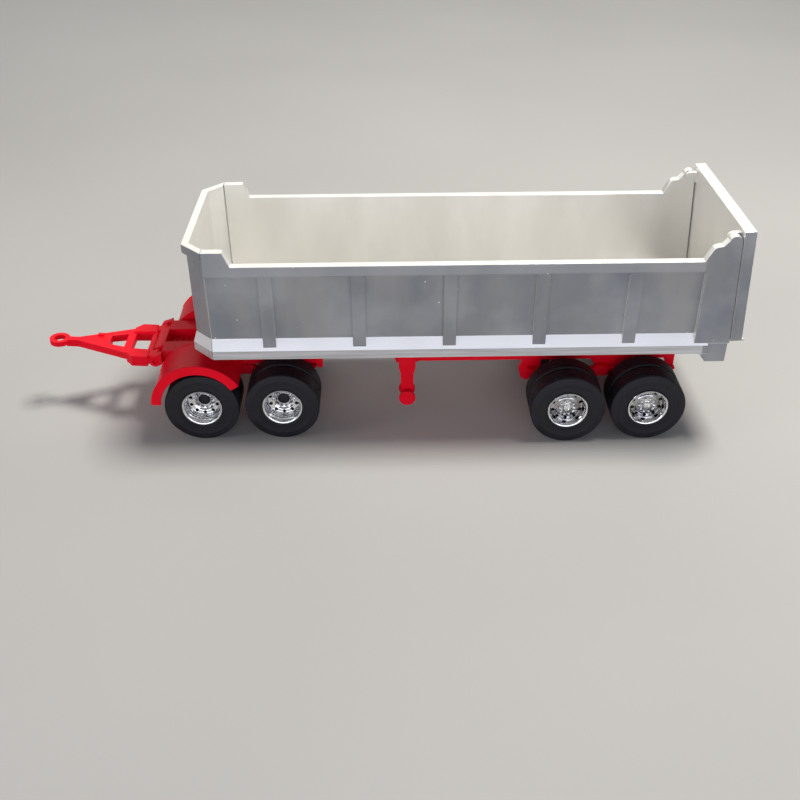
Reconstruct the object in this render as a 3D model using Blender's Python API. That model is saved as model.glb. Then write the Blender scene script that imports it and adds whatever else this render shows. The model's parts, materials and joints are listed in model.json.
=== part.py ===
"""A 1:25 scale model of a dump trailer on four axles.

The tipping bed is hinged at the back of a gooseneck frame, a telescopic hoist lifts it, and
its tailgate hangs from a hinge at the top. The front of the frame rests on a turntable over a
steered two-axle dolly, which is towed by a hinged drawbar. Every wheel is a dual wheel.

Lengths are millimetres. X runs along the trailer, with the drawbar towards -X, and is counted
from the middle of the bed. Y runs across, with the left-hand side at -Y. Z is height above
the ground. The root empty then moves the whole trailer so that its origin lies on the ground
under the middle of its overall length.
"""

import math

import bmesh
import bpy
from mathutils import Matrix, Vector

MM = 0.001
GAP = 0.3                       # play between pieces that rest on each other

# Bed
BED_HALF = 48.75                # half width over the rails
PANEL_OUT, PANEL_IN = 45.6, 43.9
BED_LOW, SHELF_LOW, SHELF_TOP = 55.2, 60.3, 66.5
RAIL_LOW, RAIL_TOP = 104.4, 110.3
SIDE_FRONT, SIDE_BACK = -134.3, 134.4
RIB_PITCH, RIB_COUNT, RIB_WIDTH, RIB_OUT = 48.5, 5, 7.0, 47.9
RIB_MIDDLE = -6.2               # the third rib's place
NOSE, NOSE_HALF = -143.9, 36.0  # flat front of the bulkhead
LIP, LIP_LOW, LIP_TOP = 2.19, 113.4, 118.4
SHOULDER_BACK, SHOULDER_FOOT = -123.4, -120.0
FLOOR_LOW, FLOOR_TOP = 57.0, 59.0
BOLSTER_LOW, BOLSTER_TOP, BOLSTER_FRONT, BOLSTER_BACK = 49.8, 61.5, 134.7, 145.0
POST_FRONT = 126.5

# Tailgate, drawn upright about its hinge and then leaned out at the bottom
GATE_X, GATE_Z = 138.8, 121.0
GATE_LEAN = math.radians(3.3)
GATE_IN, GATE_OUT = 3.8, 10.0   # distance of its two faces behind the hinge
GATE_LOW, GATE_TOP = -58.5, 5.3
GATE_FOOT, GATE_FOOT_HIGH = 1.0, 0.9    # small flange along its lower edge
KNUCKLE, STUB = 3.4, 1.5
ARM_IN, ARM_OUT = 40.8, 43.4    # the gate's hinge arms, inside the posts

# Frame
FRAME_TOP, FRAME_LOW, NECK_LOW, FRAME_FRONT = 56.5, 35.2, 50.6, -142.0
RAIL_IN, RAIL_OUT, RAIL_WEB, FLANGE = 16.4, 20.0, 1.4, 1.2
TILT_X, TILT_Z, LUG, TILT_PIN = 131.0, 50.0, 4.2, 1.6
# Spring hangers under the rail, from back to front
HANGERS = [(126.8, 44.0), (126.8, 28.6), (123.4, 28.6), (120.6, FRAME_LOW),
           (97.8, FRAME_LOW), (90.2, 24.4), (85.8, 24.4), (78.0, FRAME_LOW),
           (49.3, FRAME_LOW), (49.3, 29.0), (45.6, 24.6), (41.8, 21.5), (39.8, 21.7),
           (37.7, 23.7), (36.5, 29.2), (38.7, FRAME_LOW)]
NECK_START, NECK_END = -34.0, -50.0     # where the rail rises to the gooseneck
BEAM_LOW, BEAM_TOP = 36.4, 55.5         # cross beams
SPRING_OUT = 24.2

# Hoist
HOIST_X, HOIST_Z = 40.0, 40.0   # barrel trunnions on the frame
LIFT_X, LIFT_Z = -40.0, 51.0    # rod eye under the bed
TRUNNION = 1.6

# Dolly
TURN_X = -122.3
DECK_LOW, DECK_TOP, DECK_HALF = 37.0, 43.0, 18.0
DECK_FRONT, DECK_BACK = -169.5, -77.5
POCKET_BACK, POCKET_HALF, POCKET_FLOOR = -152.0, 7.2, 38.6
RIDGES, RIDGE_WIDE, RIDGE_HIGH = (-166.0, -162.7, -159.4), 0.9, 0.7     # across the pocket's floor
KINGPIN = 3.2
FENDER_X, FENDER_Z, FENDER_OUT, FENDER_SKIN, FENDER_LIP = -145.7, 23.3, 26.7, 1.6, 5.2
FENDER_INNER, FENDER_OUTER, FENDER_EDGE = 20.3, 47.5, 1.4
# First and last angle of each fender. The right one is the same moulding turned half round, cut
# short behind to clear the second wheel
FENDER_ARC = {"left": (31, 175), "right": (16, 149)}

# Drawbar, drawn level about its hinge and then raised a little
BAR_X, BAR_Z, BAR_PIN, HINGE_R = -173.5, 38.0, 1.2, 3.5
HINGE_HALF, SLOT_IN, SLOT_OUT = 21.5, 11.5, 18.0     # hinge beam and its two slots
PLATE_LOW, PLATE_TOP = -3.6, 0.7        # drawbar plate, from the hinge's height
ARM_LOW, ARM_TOP = -5.0, 1.4            # its deep rear arms
BAR_RISE = math.radians(3.45)
EYE_REACH, EYE_OUT, EYE_HOLE, NECK_HALF = 59.5, 5.9, 3.3, 2.1
LUG_X, LUG_Y, LUG_TOP = (-38.2, -34.8), (4.0, 6.2), 1.6     # small lug on the plate's right edge

# Wheels
TYRE_R, TYRE_BORE, TYRE_WIDE, DUAL_WIDE = 21.0, 11.4, 11.0, 23.5
# Tyre wall: radius, and how far in from the face as a share of the width
TYRE_WALL = [(TYRE_BORE, 0.1), (16.5, 0.0), (19.9, 0.015), (TYRE_R, 0.08)]
RIM_R, RIM_BORE, SPINDLE, AXLE = 11.0, 1.8, 1.5, 2.5
DOLLY_AXLES, REAR_AXLES = (-145.0, -99.6), (61.1, 106.6)
DOLLY_FACES, REAR_FACES = (45.3, 45.3), (52.4, 50.9)    # outer faces of the outer tyres
DOLLY_DISH, REAR_DISH = 8.7, 4.5        # how deep each wheel disc lies

# Landing gear
LEG_X, LEG_IN, LEG_OUT, LANDING_Z, LANDING_R = -28.6, 21.8, 27.2, 16.3, 4.8

SIDES = (("left", -1), ("right", 1))


# ---------------------------------------------------------------- making solids

def loft(rings, ends_meet=False):
    """Skin a closed solid over a row of equal rings of points."""
    bm = bmesh.new()
    loops = [[bm.verts.new(Vector(point) * MM) for point in ring] for ring in rings]
    pairs = list(zip(loops, loops[1:]))
    if ends_meet:
        pairs.append((loops[-1], loops[0]))
    else:
        bm.faces.new(loops[0])
        bm.faces.new(loops[-1])
    for first, second in pairs:
        for i in range(len(first)):
            bm.faces.new((first[i - 1], first[i], second[i], second[i - 1]))
    bmesh.ops.recalc_face_normals(bm, faces=bm.faces[:])
    return bm


def along(axis, across, up, distance):
    """A point from its place in a section and its distance along X, Y or Z."""
    return {
        "X": (distance, across, up),
        "Y": (across, distance, up),
        "Z": (across, up, distance),
    }[axis]


def prism(outline, axis, low, high):
    """A flat outline pushed along an axis: (y, z) for X, (x, z) for Y and (x, y) for Z."""
    return loft([[along(axis, *point, at) for point in outline] for at in (low, high)])


def box(x, y, z):
    """A box from its lowest and highest X, Y and Z."""
    return prism([(x[0], y[0]), (x[1], y[0]), (x[1], y[1]), (x[0], y[1])], "Z", *z)


def arc(x, z, radius, start, stop, steps):
    """Points on an arc, with its angles in degrees."""
    angles = [math.radians(start + (stop - start) * i / steps) for i in range(steps + 1)]
    return [(x + radius * math.cos(a), z + radius * math.sin(a)) for a in angles]


def rod(stations, axis, centre=(0.0, 0.0), segments=16):
    """A solid turned bar from its (distance, radius) stations."""
    rings = []
    for at, radius in stations:
        circle = arc(*centre, radius, 0, 360 - 360 / segments, segments - 1)
        rings.append([along(axis, *point, at) for point in circle])
    return loft(rings)


def ring(section, axis, centre=(0.0, 0.0), segments=24):
    """A turned ring from its closed (radius, distance) section."""
    rings = []
    for i in range(segments):
        angle = 2 * math.pi * i / segments
        cos, sin = math.cos(angle), math.sin(angle)
        rings.append([along(axis, centre[0] + r * cos, centre[1] + r * sin, at) for r, at in section])
    return loft(rings, ends_meet=True)


def combine(base, tools, operation):
    """Join solids to a base solid (UNION) or take them out of it (DIFFERENCE)."""
    holders = []
    for solid in [base, *tools]:
        mesh = bpy.data.meshes.new("working")
        solid.to_mesh(mesh)
        solid.free()
        holders.append(bpy.data.objects.new("working", mesh))
        bpy.context.collection.objects.link(holders[-1])
    for tool in holders[1:]:
        modifier = holders[0].modifiers.new("combine", "BOOLEAN")
        modifier.operation = operation
        modifier.object = tool
    evaluated = holders[0].evaluated_get(bpy.context.evaluated_depsgraph_get())
    result = bmesh.new()
    result.from_mesh(evaluated.to_mesh())
    evaluated.to_mesh_clear()
    for holder in holders:
        bpy.data.meshes.remove(holder.data)
    return result


def join(base, *tools):
    return combine(base, tools, "UNION")


def cut(base, *tools):
    return combine(base, tools, "DIFFERENCE")


def material(name, colour, roughness, metallic):
    made = bpy.data.materials.new(name)
    made.use_nodes = True
    shader = made.node_tree.nodes["Principled BSDF"]
    shader.inputs["Base Color"].default_value = (*colour, 1.0)
    shader.inputs["Roughness"].default_value = roughness
    shader.inputs["Metallic"].default_value = metallic
    return made


class Trailer:
    """Makes the named objects, each under the root empty and with its origin at its pivot."""

    def __init__(self, shift):
        self.root = bpy.data.objects.new("trailer", None)
        self.root.location = (shift * MM, 0.0, 0.0)
        bpy.context.collection.objects.link(self.root)
        self.materials = {
            "silver": material("silver_plastic", (0.55, 0.56, 0.59), 0.34, 0.35),
            "red": material("red_plastic", (0.75, 0.006, 0.015), 0.26, 0.0),
            "chrome": material("chrome", (0.86, 0.87, 0.88), 0.07, 1.0),
            "rubber": material("tyre_rubber", (0.014, 0.014, 0.017), 0.55, 0.0),
        }

    def add(self, name, solid, finish, pivot=(0.0, 0.0, 0.0), lean=0.0):
        """Name a solid. A lean turns it about its pivot, with its -X side going up."""
        origin = Vector(pivot) * MM
        bmesh.ops.translate(solid, vec=-origin, verts=solid.verts)
        mesh = bpy.data.meshes.new(name)
        solid.to_mesh(mesh)
        solid.free()
        mesh.shade_smooth()
        mesh.set_sharp_from_angle(angle=math.radians(35))
        mesh.materials.append(self.materials[finish])
        made = bpy.data.objects.new(name, mesh)
        made.parent = self.root
        made.location = origin
        made.rotation_euler = (0.0, lean, 0.0)
        bpy.context.collection.objects.link(made)


# ---------------------------------------------------------------- bed

def outward(first, second):
    """The outward normal of a stretch of the bulkhead's plan, which runs from left to right."""
    run = (Vector(second) - Vector(first)).normalized()
    return Vector((-run.y, run.x))


def bulkhead_plan(offset):
    """The bulkhead's plan line moved outwards, with its ends square to X."""
    path = [(SIDE_FRONT - GAP, -PANEL_OUT), (NOSE, -NOSE_HALF), (NOSE, NOSE_HALF),
            (SIDE_FRONT - GAP, PANEL_OUT)]
    normals = [outward(*pair) for pair in zip(path, path[1:])]
    mitre = (normals[0] + normals[1]) / (1 + normals[0].dot(normals[1]))
    end = 1 / abs(normals[0].y)
    shifts = [(0, -end), mitre, (mitre.x, -mitre.y), (0, end)]
    return [(x + offset * dx, y + offset * dy) for (x, y), (dx, dy) in zip(path, shifts)]


def bulkhead():
    """The front wall with its two slanted corners, top lip and bottom rail."""
    inner = PANEL_IN - PANEL_OUT
    section = [(inner, BED_LOW), (LIP, BED_LOW), (LIP, SHELF_LOW), (0.0, SHELF_TOP),
               (0.0, LIP_LOW), (LIP, LIP_LOW), (LIP, LIP_TOP), (inner, LIP_TOP)]
    columns = [bulkhead_plan(out) for out, _ in section]
    return loft([[(*columns[i][k], section[i][1]) for i in range(len(section))] for k in range(4)])


def bed_floor():
    inside = bulkhead_plan(PANEL_IN - PANEL_OUT - GAP)
    half = PANEL_IN - GAP
    slope = (inside[3][0] - inside[2][0]) / (inside[3][1] - inside[2][1])
    corner = inside[3][0] + (half - inside[3][1]) * slope
    back = BOLSTER_FRONT - GAP
    outline = [inside[1], inside[2], (corner, half), (back, half), (back, -half), (corner, -half)]
    return prism(outline, "Z", FLOOR_LOW, FLOOR_TOP)


def gate_point(across, up):
    """A point of the leaning tailgate, as X and Z, from its place about the hinge."""
    cos, sin = math.cos(GATE_LEAN), math.sin(GATE_LEAN)
    return GATE_X + across * cos - up * sin, GATE_Z + up * cos + across * sin


def post_outline():
    """The rear post in side view: stepped shoulder, hinge knuckle and leaning back edge."""
    bottom = BOLSTER_TOP + GAP
    up = (bottom - GATE_Z - KNUCKLE * math.sin(GATE_LEAN)) / math.cos(GATE_LEAN)
    return [
        (POST_FRONT, bottom), (POST_FRONT, RAIL_LOW + 1.0), (124.7, RAIL_TOP), (128.4, 117.4),
        (130.2, 118.4), (132.9, 118.8),
        *arc(GATE_X, GATE_Z, KNUCKLE, 165, math.degrees(GATE_LEAN), 8),
        gate_point(KNUCKLE, up),
    ]


def bed_side(side):
    """A side wall with its rails, shelf, ribs, front shoulder and rear post."""
    section = [(PANEL_IN, BED_LOW), (BED_HALF, BED_LOW), (BED_HALF, SHELF_LOW),
               (PANEL_OUT, SHELF_TOP), (PANEL_OUT, RAIL_LOW), (BED_HALF, RAIL_LOW),
               (BED_HALF, RAIL_TOP), (PANEL_IN, RAIL_TOP)]
    wall = prism([(side * y, z) for y, z in section], "X", SIDE_FRONT, SIDE_BACK)
    inner, outer = side * PANEL_IN, side * BED_HALF
    shoulder = [(SIDE_FRONT, RAIL_LOW + 1.0), (SIDE_FRONT, LIP_TOP), (SHOULDER_BACK, LIP_TOP),
                (SHOULDER_FOOT, RAIL_TOP), (SHOULDER_FOOT, RAIL_LOW + 1.0)]
    added = [prism(shoulder, "Y", inner, outer), prism(post_outline(), "Y", inner, outer)]
    for i in range(RIB_COUNT):
        middle = RIB_MIDDLE + (i - RIB_COUNT // 2) * RIB_PITCH
        added.append(box((middle - RIB_WIDTH / 2, middle + RIB_WIDTH / 2),
                         sorted((side * (PANEL_OUT - 0.5), side * RIB_OUT)),
                         (SHELF_LOW - 1.0, RAIL_LOW + 1.0)))
    bore = STUB + GAP
    hole = rod([(side * (PANEL_IN - 1.0), bore), (side * (BED_HALF - 1.2), bore)], "Y",
               (GATE_X, GATE_Z), 12)
    return cut(join(wall, *added), hole)


def rear_bolster():
    """The cross beam behind the floor, with the two ears of the bed hinge."""
    half, inset = BED_HALF - 0.6, 26.0
    plan = [(BOLSTER_FRONT, -half), (BOLSTER_BACK, -half), (BOLSTER_BACK, half),
            (BOLSTER_FRONT, half), (BOLSTER_FRONT, inset), (TILT_X + 6.0, inset),
            (TILT_X + 6.0, -inset), (BOLSTER_FRONT, -inset)]
    beam = prism(plan, "Z", BOLSTER_LOW, BOLSTER_TOP)
    added = []
    for _, side in SIDES:
        ear = [*arc(TILT_X, TILT_Z, LUG, 90, 270, 8), (TILT_X + 7.0, TILT_Z - LUG),
               (TILT_X + 7.0, TILT_Z + LUG)]
        added.append(prism(ear, "Y", side * 12.0, side * 15.5))
        gusset = [(TILT_X - 0.8, BED_LOW - GAP), (BOLSTER_FRONT + 1.0, BED_LOW - GAP),
                  (BOLSTER_FRONT + 1.0, BOLSTER_LOW), (BOLSTER_FRONT - 0.6, BOLSTER_LOW)]
        added.append(prism(gusset, "Y", side * (half - 3.0), side * half))
    hole = rod([(-17.0, TILT_PIN + GAP), (17.0, TILT_PIN + GAP)], "Y", (TILT_X, TILT_Z), 12)
    return cut(join(beam, *added), hole)


def tailgate():
    """The gate: skin, deep border, crossed ribs, two hinge arms and their stub pins."""
    x, z = GATE_X, GATE_Z
    slab = box((x + GATE_IN, x + GATE_OUT), (-BED_HALF, BED_HALF), (z + GATE_LOW, z + GATE_TOP))
    border, rib, skin = 5.0, 3.0, 1.8
    pockets = []
    columns, rows = 4, 2
    wide = (2 * (BED_HALF - border) - (columns - 1) * rib) / columns
    tall = (GATE_TOP - GATE_LOW - 2 * border - (rows - 1) * rib) / rows
    for column in range(columns):
        for row in range(rows):
            left = -BED_HALF + border + column * (wide + rib)
            low = z + GATE_LOW + border + row * (tall + rib)
            pockets.append(box((x + GATE_IN + skin, x + GATE_OUT + 1.0), (left, left + wide),
                               (low, low + tall)))
    radius, root = KNUCKLE - 0.2, x + GATE_IN + 0.8
    added = [box((x + GATE_IN, x + GATE_OUT + GATE_FOOT), (-BED_HALF, BED_HALF),
                 (z + GATE_LOW, z + GATE_LOW + GATE_FOOT_HIGH))]
    for _, side in SIDES:
        arm = [*arc(x, z, radius, 90, 270, 8), (root, z - radius), (root, z + radius)]
        added.append(prism(arm, "Y", side * ARM_IN, side * ARM_OUT))
        stub = [(side * (ARM_OUT - 0.9), STUB), (side * (BED_HALF - 1.6), STUB)]
        added.append(rod(stub, "Y", (x, z), 12))
    return join(cut(slab, *pockets), *added)


def hoist_bracket():
    """Two ears under the floor, one on each side of the hoist's rod eye."""
    plate = box((LIFT_X - 7.0, LIFT_X + 7.0), (-9.0, 9.0), (FLOOR_LOW - 1.8, FLOOR_LOW - GAP))
    ears = []
    for _, side in SIDES:
        ear = [*arc(LIFT_X, LIFT_Z, 3.2, 180, 360, 6), (LIFT_X + 4.5, FLOOR_LOW - 1.0),
               (LIFT_X - 4.5, FLOOR_LOW - 1.0)]
        ears.append(prism(ear, "Y", side * 4.6, side * 7.0))
    hole = rod([(-8.0, TRUNNION), (8.0, TRUNNION)], "Y", (LIFT_X, LIFT_Z), 10)
    return cut(join(plate, *ears), hole)


def make_bed(trailer):
    tilt = (TILT_X, 0.0, TILT_Z)
    trailer.add("bed_floor", bed_floor(), "silver", tilt)
    trailer.add("bed_bulkhead", bulkhead(), "silver", tilt)
    for name, side in SIDES:
        trailer.add(f"bed_side_{name}", bed_side(side), "silver", tilt)
    trailer.add("bed_rear_bolster", rear_bolster(), "silver", tilt)
    trailer.add("hoist_bracket", hoist_bracket(), "silver", tilt)
    trailer.add("tailgate", tailgate(), "silver", (GATE_X, 0.0, GATE_Z), -GATE_LEAN)


# ---------------------------------------------------------------- frame

def frame_rail(side):
    """A channel rail, open inwards, with the gooseneck, spring hangers and hinge lug."""
    outline = [
        (FRAME_FRONT, FRAME_TOP), (126.5, FRAME_TOP),
        *arc(TILT_X, TILT_Z, LUG, 75, -90, 8), *HANGERS,
        (NECK_START, FRAME_LOW), (NECK_END, NECK_LOW), (FRAME_FRONT, NECK_LOW),
    ]
    rail = prism(outline, "Y", side * RAIL_IN, side * RAIL_OUT)
    inner = min(rail.faces, key=lambda face: abs(face.calc_center_median().y))
    bmesh.ops.inset_region(rail, faces=[inner], thickness=FLANGE * MM)
    depth = side * (RAIL_OUT - RAIL_WEB - RAIL_IN) * MM
    bmesh.ops.translate(rail, vec=(0.0, depth, 0.0), verts=inner.verts)
    hole = rod([(side * 15.0, TILT_PIN + GAP), (side * 22.0, TILT_PIN + GAP)], "Y",
               (TILT_X, TILT_Z), 12)
    return cut(rail, hole)


def crossmember_mid():
    """The cross beam behind the hoist, with the two arms that hold its trunnions."""
    half = RAIL_IN - GAP
    beam = box((52.0, 57.0), (-half, half), (BEAM_LOW, BEAM_TOP))
    arms = []
    for _, side in SIDES:
        arm = [*arc(HOIST_X, HOIST_Z, 4.0, 90, 270, 8), (53.0, HOIST_Z - 4.0), (53.0, HOIST_Z + 4.0)]
        arms.append(prism(arm, "Y", side * 9.0, side * 12.0))
    bore = TRUNNION + GAP
    hole = rod([(-14.0, bore), (14.0, bore)], "Y", (HOIST_X, HOIST_Z), 12)
    return cut(join(beam, *arms), hole)


def spring(axles, reach, side, inner, outer):
    """Two leaf springs that meet at a centre equaliser, with a pad over each axle."""
    middle, axle = sum(axles) / 2, (axles[1] - axles[0]) / 2
    low = TYRE_R + AXLE + GAP
    leaf, tip, thick, pad, pad_top, equaliser = low + 4.3, low + 7.6, 1.5, 5.0, low + 1.2, 4.0
    half = [(equaliser, tip + 1.2), (equaliser, tip), (axle, leaf), (axle + reach, tip),
            (axle + reach, tip - thick), (axle + pad, pad_top), (axle + pad, low),
            (axle - pad, low), (axle - pad, pad_top), (equaliser, tip - thick),
            (equaliser, low + 2.5)]
    outline = [(middle + dx, z) for dx, z in half] + [(middle - dx, z) for dx, z in reversed(half)]
    return prism(outline, "Y", side * inner, side * outer)


def axle_bar(x, face, dish):
    """A straight axle: a tube between the wheels and a thinner spindle into each hub."""
    tube_end, spindle_end = face - DUAL_WIDE - 1.0, face - dish - 1.0
    stations = [(-spindle_end, SPINDLE), (-tube_end, SPINDLE), (-tube_end, AXLE),
                (tube_end, AXLE), (tube_end, SPINDLE), (spindle_end, SPINDLE)]
    return rod(stations, "Y", (x, TYRE_R), 12)


def headed_pin(radius, half, centre):
    """A pin across the trailer with a flat head at each end."""
    head = half + 1.0
    stations = [(-head, radius * 1.7), (-half, radius * 1.7), (-half, radius),
                (half, radius), (half, radius * 1.7), (head, radius * 1.7)]
    return rod(stations, "Y", centre, 12)


def landing_leg(side):
    """A landing leg, with its mounting plate on the outside of the rail."""
    low = LANDING_Z - 3.4
    outline = [(LEG_X - 3.7, low), (LEG_X + 3.7, low), (LEG_X + 3.7, 31.0), (LEG_X + 4.8, 35.0),
               (LEG_X + 4.8, 46.0), (LEG_X - 4.8, 46.0), (LEG_X - 4.8, 35.0), (LEG_X - 3.7, 31.0)]
    leg = prism(outline, "Y", side * LEG_IN, side * LEG_OUT)
    plate = box((LEG_X - 6.5, LEG_X + 6.5), sorted((side * (RAIL_OUT + GAP), side * (LEG_IN + 0.5))),
                (36.0, 52.0))
    hole = rod([(side * 21.0, 1.5), (side * 28.0, 1.5)], "Y", (LEG_X, LANDING_Z), 10)
    return cut(join(leg, plate), hole)


def landing_wheels(side):
    """Two small discs on one short axle, either side of the leg."""
    stations = [(18.4, LANDING_R), (20.6, LANDING_R), (20.6, 1.2), (28.4, 1.2),
                (28.4, LANDING_R), (30.6, LANDING_R)]
    return rod([(side * at, radius) for at, radius in stations], "Y", (LEG_X, LANDING_Z), 16)


def turntable_plate():
    """The frame's half of the turntable: a round plate with a bearing ring under it."""
    plate_top, plate_low, ring_low = NECK_LOW - GAP, NECK_LOW - 3.2, NECK_LOW - 5.1
    section = [(KINGPIN + GAP, plate_top), (19.0, plate_top), (19.0, plate_low), (16.0, plate_low),
               (16.0, ring_low), (9.0, ring_low), (9.0, plate_low), (KINGPIN + GAP, plate_low)]
    return ring(section, "Z", (TURN_X, 0.0))


def kingpin():
    """The pin that the dolly turns on, with a head at each end."""
    stations = [(DECK_LOW - 2.4, 5.0), (DECK_LOW - 0.4, 5.0), (DECK_LOW - 0.4, KINGPIN),
                (NECK_LOW, KINGPIN), (NECK_LOW, 5.0), (NECK_LOW + 1.8, 5.0)]
    return rod(stations, "Z", (TURN_X, 0.0))


def make_frame(trailer):
    for name, side in SIDES:
        trailer.add(f"frame_rail_{name}", frame_rail(side), "red")
        trailer.add(f"landing_leg_{name}", landing_leg(side), "red")
        trailer.add(f"landing_wheels_{name}", landing_wheels(side), "red",
                    (LEG_X, 0.0, LANDING_Z))
        trailer.add(f"rear_spring_{name}",
                    spring(REAR_AXLES, 20.0, side, RAIL_OUT + 0.6, SPRING_OUT), "red")
    half = RAIL_IN - GAP
    trailer.add("crossmember_mid", crossmember_mid(), "red")
    trailer.add("crossmember_rear", box((116.0, 120.0), (-half, half), (BEAM_LOW, BEAM_TOP)), "red")
    trailer.add("turntable_plate", turntable_plate(), "red")
    trailer.add("kingpin", kingpin(), "red")
    trailer.add("bed_hinge_pin", headed_pin(TILT_PIN, RAIL_OUT + GAP, (TILT_X, TILT_Z)), "red")
    brace = box((LEG_X - 2.0, LEG_X + 2.0), (GAP - LEG_IN, LEG_IN - GAP), (24.0, 28.0))
    trailer.add("landing_brace", brace, "red")
    for number, (x, face) in enumerate(zip(REAR_AXLES, REAR_FACES), 1):
        trailer.add(f"rear_axle_{number}", axle_bar(x, face, REAR_DISH), "red", (x, 0.0, TYRE_R))


# ---------------------------------------------------------------- hoist

def hoist_solid(stations, holes=()):
    """A turned part of the hoist, drawn level and then swung onto the line to the rod eye."""
    solid = rod(stations, "X", segments=16)
    if holes:
        solid = cut(solid, *[rod(hole, "X", segments=16) for hole in holes])
    return solid


def hoist_line(solid):
    """Swing a level hoist part about the trunnions and put it in place."""
    angle = math.atan2(LIFT_Z - HOIST_Z, HOIST_X - LIFT_X)
    place = Matrix.Translation(Vector((HOIST_X, 0.0, HOIST_Z)) * MM)
    bmesh.ops.transform(solid, matrix=place @ Matrix.Rotation(angle, 4, "Y"), verts=solid.verts)
    return solid


def make_hoist(trailer):
    reach = math.hypot(LIFT_X - HOIST_X, LIFT_Z - HOIST_Z)
    pivot = (HOIST_X, 0.0, HOIST_Z)
    barrel = hoist_solid([(5.0, 6.0), (3.0, 6.5), (-60.0, 6.5)], [[(-5.0, 5.3), (-61.0, 5.3)]])
    barrel = join(barrel, rod([(-12.4, TRUNNION), (-5.8, TRUNNION)], "Y", segments=12),
                  rod([(5.8, TRUNNION), (12.4, TRUNNION)], "Y", segments=12))
    trailer.add("hoist_barrel", hoist_line(barrel), "red", pivot)
    stage = hoist_solid([(-7.0, 5.0), (-64.0, 5.0)], [[(-6.0, 3.9), (-65.0, 3.9)]])
    trailer.add("hoist_stage_1", hoist_line(stage), "chrome", pivot)
    eye = rod([(-4.2, 3.4), (4.2, 3.4)], "Y", (-reach, 0.0), 16)
    last = join(hoist_solid([(-9.0, 3.6), (-reach + 1.5, 3.6)]), eye)
    last = cut(last, rod([(-5.0, TRUNNION), (5.0, TRUNNION)], "Y", (-reach, 0.0), 10))
    trailer.add("hoist_stage_2", hoist_line(last), "chrome", pivot)


# ---------------------------------------------------------------- dolly

def dolly_frame():
    """Deck with its front pocket, side beams with spring feet, fender stays and hinge beam."""
    deck = box((DECK_FRONT - 1.0, DECK_BACK), (-DECK_HALF, DECK_HALF), (DECK_LOW, DECK_TOP))
    added = []
    for _, side in SIDES:
        beam = [(DECK_FRONT - 1.0, 30.0), (-165.5, 30.0), (-163.6, 33.4), (-81.2, 33.4),
                (-80.6, 30.5), (DECK_BACK, 30.5), (DECK_BACK, 38.0), (DECK_FRONT - 1.0, 38.0)]
        added.append(prism(beam, "Y", side * 13.8, side * 17.8))
        stay = [(-152.0, 40.0), (-139.4, 40.0), (-141.4, 49.6), (-150.0, 49.6)]
        added.append(prism(stay, "Y", side * 17.0, side * (FENDER_INNER - GAP)))
    nose = [(DECK_FRONT, BAR_Z - 1.8), (DECK_FRONT, DECK_TOP), *arc(BAR_X, BAR_Z, HINGE_R, 90, 270, 8)]
    added.append(prism(nose, "Y", -HINGE_HALF, HINGE_HALF))
    over, under = DECK_TOP + 5.0, BAR_Z - 9.0
    removed = [box((DECK_FRONT, POCKET_BACK), (-POCKET_HALF, POCKET_HALF), (POCKET_FLOOR, over))]
    for _, side in SIDES:
        removed.append(box((BAR_X - 5.0, DECK_FRONT - 0.2), sorted((side * SLOT_IN, side * SLOT_OUT)),
                           (under, over)))
    pin, post = BAR_PIN + GAP, KINGPIN + GAP
    removed.append(rod([(-30.0, pin), (30.0, pin)], "Y", (BAR_X, BAR_Z), 10))
    removed.append(rod([(under, post), (over, post)], "Z", (TURN_X, 0.0)))
    half, foot = POCKET_HALF - 0.5, POCKET_FLOOR - 0.5
    ridges = [box((x, x + RIDGE_WIDE), (-half, half), (foot, POCKET_FLOOR + RIDGE_HIGH)) for x in RIDGES]
    return join(cut(join(deck, *added), *removed), *ridges)


def fender(side, start, stop):
    """A curved fender over the front dolly wheel, lipped along both edges."""
    outer, skin, lip = FENDER_OUT, FENDER_OUT - FENDER_SKIN, FENDER_OUT - FENDER_LIP
    near, far, edge = FENDER_INNER, FENDER_OUTER, FENDER_EDGE
    section = [(outer, near), (outer, far), (lip, far), (lip, far - edge), (skin, far - edge),
               (skin, near + edge), (lip, near + edge), (lip, near)]
    rings = []
    steps = 16
    for i in range(steps + 1):
        angle = math.radians(start + (stop - start) * i / steps)
        rings.append([(FENDER_X + r * math.cos(angle), side * y, FENDER_Z + r * math.sin(angle))
                      for r, y in section])
    return loft(rings)


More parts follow.
